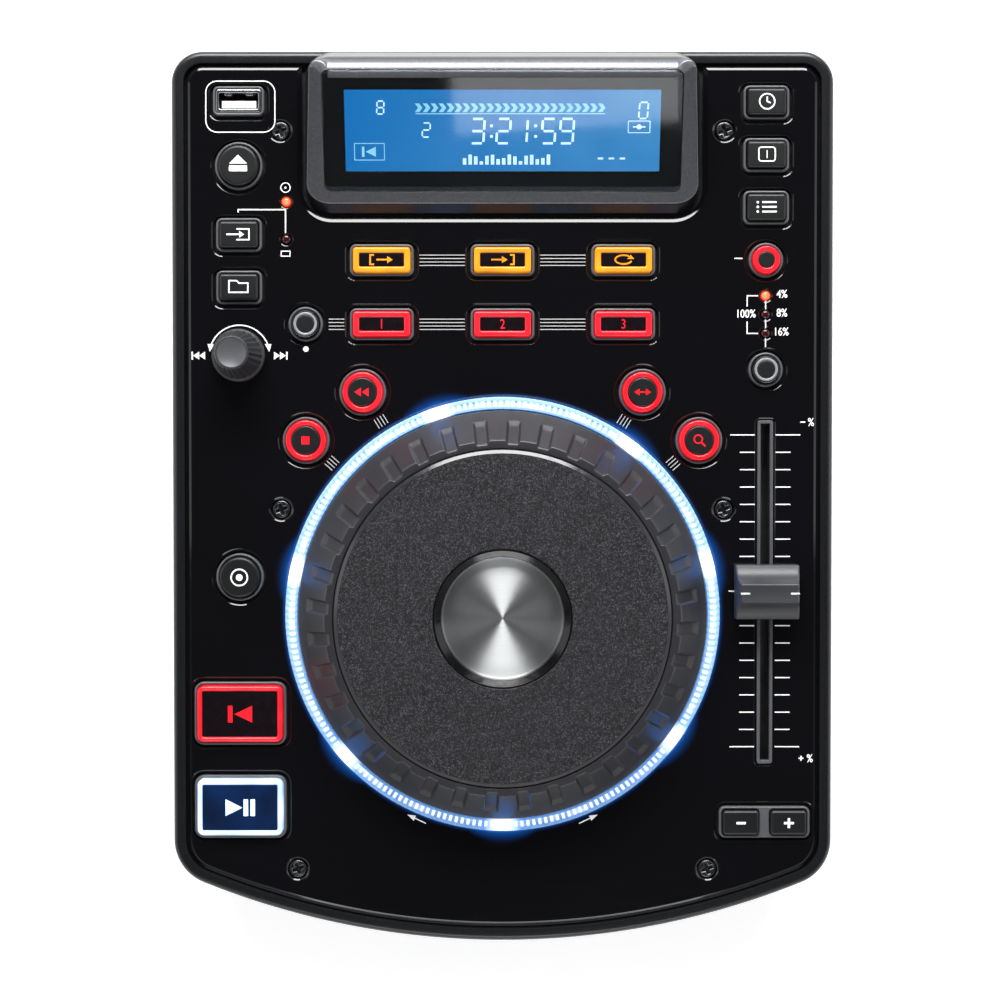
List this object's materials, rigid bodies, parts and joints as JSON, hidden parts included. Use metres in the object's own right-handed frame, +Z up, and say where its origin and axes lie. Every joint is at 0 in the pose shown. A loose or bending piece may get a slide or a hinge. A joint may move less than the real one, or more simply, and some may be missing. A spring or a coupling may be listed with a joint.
{
  "type": "tabletop disc player for dj use",
  "caption": "Wedge-shaped tabletop DJ disc player: notched jog wheel in a lit ring, pitch fader, lit keys, track knob, hooded display, front disc slot and rear sockets.",
  "frame": {"origin": "on the table, under the middle of the housing, at the bottom of the feet", "axes": "+X to the user's right, +Y to the rear with the display, +Z up"},
  "size_m": [0.2112, 0.2852, 0.0952],
  "materials": {
    "housing_plastic": "procedural finish in the scene",
    "rim_plastic": "procedural finish in the scene",
    "gloss_plate": "procedural finish in the scene",
    "hood_metallic": "procedural finish in the scene",
    "window_glass": "procedural finish in the scene",
    "lcd_blue": "procedural finish in the scene",
    "bezel_plastic": "procedural finish in the scene",
    "ring_acrylic": "procedural finish in the scene",
    "bearing_steel": "procedural finish in the scene",
    "rear_sheet": "procedural finish in the scene",
    "socket_plastic": "procedural finish in the scene",
    "usb_b_steel": "procedural finish in the scene",
    "inlet_plastic": "procedural finish in the scene",
    "rocker_frame_plastic": "procedural finish in the scene",
    "usb_a_steel": "procedural finish in the scene",
    "screw_steel": "procedural finish in the scene",
    "foot_rubber": "procedural finish in the scene",
    "control_laminate": "procedural finish in the scene",
    "main_laminate": "procedural finish in the scene",
    "power_laminate": "procedural finish in the scene",
    "led_lens": "procedural finish in the scene",
    "fader_sheet": "procedural finish in the scene",
    "encoder_case": "procedural finish in the scene",
    "chassis_sheet": "procedural finish in the scene",
    "platter_plastic": "procedural finish in the scene",
    "disc_plastic": "procedural finish in the scene",
    "spun_metal": "procedural finish in the scene",
    "shaft_steel": "procedural finish in the scene",
    "fader_cap_plastic": "procedural finish in the scene",
    "lever_steel": "procedural finish in the scene",
    "knob_plastic": "procedural finish in the scene",
    "rotor_plastic": "procedural finish in the scene",
    "rocker_plastic": "procedural finish in the scene",
    "turntable_plastic": "procedural finish in the scene",
    "sled_plastic": "procedural finish in the scene",
    "roller_rubber": "procedural finish in the scene",
    "cue_key": "procedural finish in the scene",
    "play_key": "procedural finish in the scene",
    "eject_key": "procedural finish in the scene",
    "source_key": "procedural finish in the scene",
    "folder_key": "procedural finish in the scene",
    "tap_key": "procedural finish in the scene",
    "record_key": "procedural finish in the scene",
    "loop_in_key": "procedural finish in the scene",
    "loop_out_key": "procedural finish in the scene",
    "reloop_key": "procedural finish in the scene",
    "hot_cue_1_key": "procedural finish in the scene",
    "hot_cue_2_key": "procedural finish in the scene",
    "hot_cue_3_key": "procedural finish in the scene",
    "reverse_key": "procedural finish in the scene",
    "brake_key": "procedural finish in the scene",
    "scratch_key": "procedural finish in the scene",
    "search_key": "procedural finish in the scene",
    "time_key": "procedural finish in the scene",
    "single_key": "procedural finish in the scene",
    "program_key": "procedural finish in the scene",
    "master_tempo_key": "procedural finish in the scene",
    "pitch_range_key": "procedural finish in the scene",
    "bend_down_key": "procedural finish in the scene",
    "bend_up_key": "procedural finish in the scene"
  },
  "bodies": {
    "player": {"bottom_housing": "housing_plastic", "top_housing": "rim_plastic", "face_plate": "gloss_plate", "display_hood": "hood_metallic", "display_window": "window_glass", "lcd_module": "lcd_blue", "slot_bezel": "bezel_plastic", "light_ring": "ring_acrylic", "jog_bearing": "bearing_steel", "rear_panel": "rear_sheet", "line_sockets": "socket_plastic", "usb_b_socket": "usb_b_steel", "mains_inlet": "inlet_plastic", "rocker_frame": "rocker_frame_plastic", "usb_a_socket": "usb_a_steel", "housing_screws": "screw_steel", "rubber_feet": "foot_rubber", "control_board": "control_laminate", "main_board": "main_laminate", "power_board": "power_laminate", "indicator_leds": "led_lens", "fader_body": "fader_sheet", "encoder_body": "encoder_case", "drive_chassis": "chassis_sheet"},
    "jog_wheel": {"jog_platter": "platter_plastic", "jog_touch_disc": "disc_plastic", "jog_cap": "spun_metal", "jog_shaft": "shaft_steel"},
    "fader": {"fader_cap": "fader_cap_plastic", "fader_lever": "lever_steel"},
    "encoder": {"encoder_rotor": "rotor_plastic"},
    "knob": {"track_knob": "knob_plastic"},
    "rocker": {"power_rocker": "rocker_plastic"},
    "disc_table": {"turntable": "turntable_plastic"},
    "sled": {"laser_sled": "sled_plastic"},
    "roller": {"loading_roller": "roller_rubber"},
    "cue_key": {"cue_button": "cue_key"},
    "play_key": {"play_button": "play_key"},
    "eject_key": {"eject_button": "eject_key"},
    "source_key": {"source_button": "source_key"},
    "folder_key": {"folder_button": "folder_key"},
    "tap_key": {"tap_button": "tap_key"},
    "record_key": {"record_button": "record_key"},
    "loop_in_key": {"loop_in_button": "loop_in_key"},
    "loop_out_key": {"loop_out_button": "loop_out_key"},
    "reloop_key": {"reloop_button": "reloop_key"},
    "hot_cue_1_key": {"hot_cue_1_button": "hot_cue_1_key"},
    "hot_cue_2_key": {"hot_cue_2_button": "hot_cue_2_key"},
    "hot_cue_3_key": {"hot_cue_3_button": "hot_cue_3_key"},
    "reverse_key": {"reverse_button": "reverse_key"},
    "brake_key": {"brake_button": "brake_key"},
    "scratch_key": {"scratch_button": "scratch_key"},
    "search_key": {"search_button": "search_key"},
    "time_key": {"time_button": "time_key"},
    "single_key": {"single_button": "single_key"},
    "program_key": {"program_button": "program_key"},
    "master_tempo_key": {"master_tempo_button": "master_tempo_key"},
    "pitch_range_key": {"pitch_range_button": "pitch_range_key"},
    "bend_down_key": {"bend_down_button": "bend_down_key"},
    "bend_up_key": {"bend_up_button": "bend_up_key"}
  },
  "joints": [
    {"name": "jog_spin", "type": "hinge", "parent": "player", "child": "jog_wheel", "pos_m": [0, -0.03757, 0.06741], "axis": [0, -0.0698, 0.9976], "continuous": true},
    {"name": "pitch_slide", "type": "slide", "parent": "player", "child": "fader", "axis": [0, 0.9976, 0.0698], "range_m": [-0.05, 0.05]},
    {"name": "track_turn", "type": "hinge", "parent": "player", "child": "encoder", "pos_m": [-0.084, 0.04483, 0.07317], "axis": [0, -0.0698, 0.9976], "continuous": true},
    {"name": "track_push", "type": "slide", "parent": "encoder", "child": "knob", "axis": [0, -0.0698, 0.9976], "range_m": [-0.0008, 0], "stiffness_N_per_m": 400},
    {"name": "power_rock", "type": "hinge", "parent": "player", "child": "rocker", "pos_m": [-0.036, 0.1274, 0.033], "axis": [1, 0, 0], "range_deg": [0, 20]},
    {"name": "disc_spin", "type": "hinge", "parent": "player", "child": "disc_table", "pos_m": [0, -0.058, 0.0294], "axis": [0, 0, 1], "continuous": true},
    {"name": "sled_slide", "type": "slide", "parent": "player", "child": "sled", "axis": [0, 1, 0], "range_m": [0, 0.034]},
    {"name": "roller_turn", "type": "hinge", "parent": "player", "child": "roller", "pos_m": [0, -0.115, 0.0249], "axis": [1, 0, 0], "continuous": true},
    {"name": "cue_press", "type": "slide", "parent": "player", "child": "cue_key", "axis": [0, -0.0698, 0.9976], "range_m": [-0.0008, 0], "stiffness_N_per_m": 300},
    {"name": "play_press", "type": "slide", "parent": "player", "child": "play_key", "axis": [0, -0.0698, 0.9976], "range_m": [-0.0008, 0], "stiffness_N_per_m": 300},
    {"name": "eject_press", "type": "slide", "parent": "player", "child": "eject_key", "axis": [0, -0.0698, 0.9976], "range_m": [-0.0008, 0], "stiffness_N_per_m": 300},
    {"name": "source_press", "type": "slide", "parent": "player", "child": "source_key", "axis": [0, -0.0698, 0.9976], "range_m": [-0.0008, 0], "stiffness_N_per_m": 300},
    {"name": "folder_press", "type": "slide", "parent": "player", "child": "folder_key", "axis": [0, -0.0698, 0.9976], "range_m": [-0.0008, 0], "stiffness_N_per_m": 300},
    {"name": "tap_press", "type": "slide", "parent": "player", "child": "tap_key", "axis": [0, -0.0698, 0.9976], "range_m": [-0.0008, 0], "stiffness_N_per_m": 300},
    {"name": "record_press", "type": "slide", "parent": "player", "child": "record_key", "axis": [0, -0.0698, 0.9976], "range_m": [-0.0008, 0], "stiffness_N_per_m": 300},
    {"name": "loop_in_press", "type": "slide", "parent": "player", "child": "loop_in_key", "axis": [0, -0.0698, 0.9976], "range_m": [-0.0008, 0], "stiffness_N_per_m": 300},
    {"name": "loop_out_press", "type": "slide", "parent": "player", "child": "loop_out_key", "axis": [0, -0.0698, 0.9976], "range_m": [-0.0008, 0], "stiffness_N_per_m": 300},
    {"name": "reloop_press", "type": "slide", "parent": "player", "child": "reloop_key", "axis": [0, -0.0698, 0.9976], "range_m": [-0.0008, 0], "stiffness_N_per_m": 300},
    {"name": "hot_cue_1_press", "type": "slide", "parent": "player", "child": "hot_cue_1_key", "axis": [0, -0.0698, 0.9976], "range_m": [-0.0008, 0], "stiffness_N_per_m": 300},
    {"name": "hot_cue_2_press", "type": "slide", "parent": "player", "child": "hot_cue_2_key", "axis": [0, -0.0698, 0.9976], "range_m": [-0.0008, 0], "stiffness_N_per_m": 300},
    {"name": "hot_cue_3_press", "type": "slide", "parent": "player", "child": "hot_cue_3_key", "axis": [0, -0.0698, 0.9976], "range_m": [-0.0008, 0], "stiffness_N_per_m": 300},
    {"name": "reverse_press", "type": "slide", "parent": "player", "child": "reverse_key", "axis": [0, -0.0698, 0.9976], "range_m": [-0.0008, 0], "stiffness_N_per_m": 300},
    {"name": "brake_press", "type": "slide", "parent": "player", "child": "brake_key", "axis": [0, -0.0698, 0.9976], "range_m": [-0.0008, 0], "stiffness_N_per_m": 300},
    {"name": "scratch_press", "type": "slide", "parent": "player", "child": "scratch_key", "axis": [0, -0.0698, 0.9976], "range_m": [-0.0008, 0], "stiffness_N_per_m": 300},
    {"name": "search_press", "type": "slide", "parent": "player", "child": "search_key", "axis": [0, -0.0698, 0.9976], "range_m": [-0.0008, 0], "stiffness_N_per_m": 300},
    {"name": "time_press", "type": "slide", "parent": "player", "child": "time_key", "axis": [0, -0.0698, 0.9976], "range_m": [-0.0008, 0], "stiffness_N_per_m": 300},
    {"name": "single_press", "type": "slide", "parent": "player", "child": "single_key", "axis": [0, -0.0698, 0.9976], "range_m": [-0.0008, 0], "stiffness_N_per_m": 300},
    {"name": "program_press", "type": "slide", "parent": "player", "child": "program_key", "axis": [0, -0.0698, 0.9976], "range_m": [-0.0008, 0], "stiffness_N_per_m": 300},
    {"name": "master_tempo_press", "type": "slide", "parent": "player", "child": "master_tempo_key", "axis": [0, -0.0698, 0.9976], "range_m": [-0.0008, 0], "stiffness_N_per_m": 300},
    {"name": "pitch_range_press", "type": "slide", "parent": "player", "child": "pitch_range_key", "axis": [0, -0.0698, 0.9976], "range_m": [-0.0008, 0], "stiffness_N_per_m": 300},
    {"name": "bend_down_press", "type": "slide", "parent": "player", "child": "bend_down_key", "axis": [0, -0.0698, 0.9976], "range_m": [-0.0008, 0], "stiffness_N_per_m": 300},
    {"name": "bend_up_press", "type": "slide", "parent": "player", "child": "bend_up_key", "axis": [0, -0.0698, 0.9976], "range_m": [-0.0008, 0], "stiffness_N_per_m": 300}
  ]
}
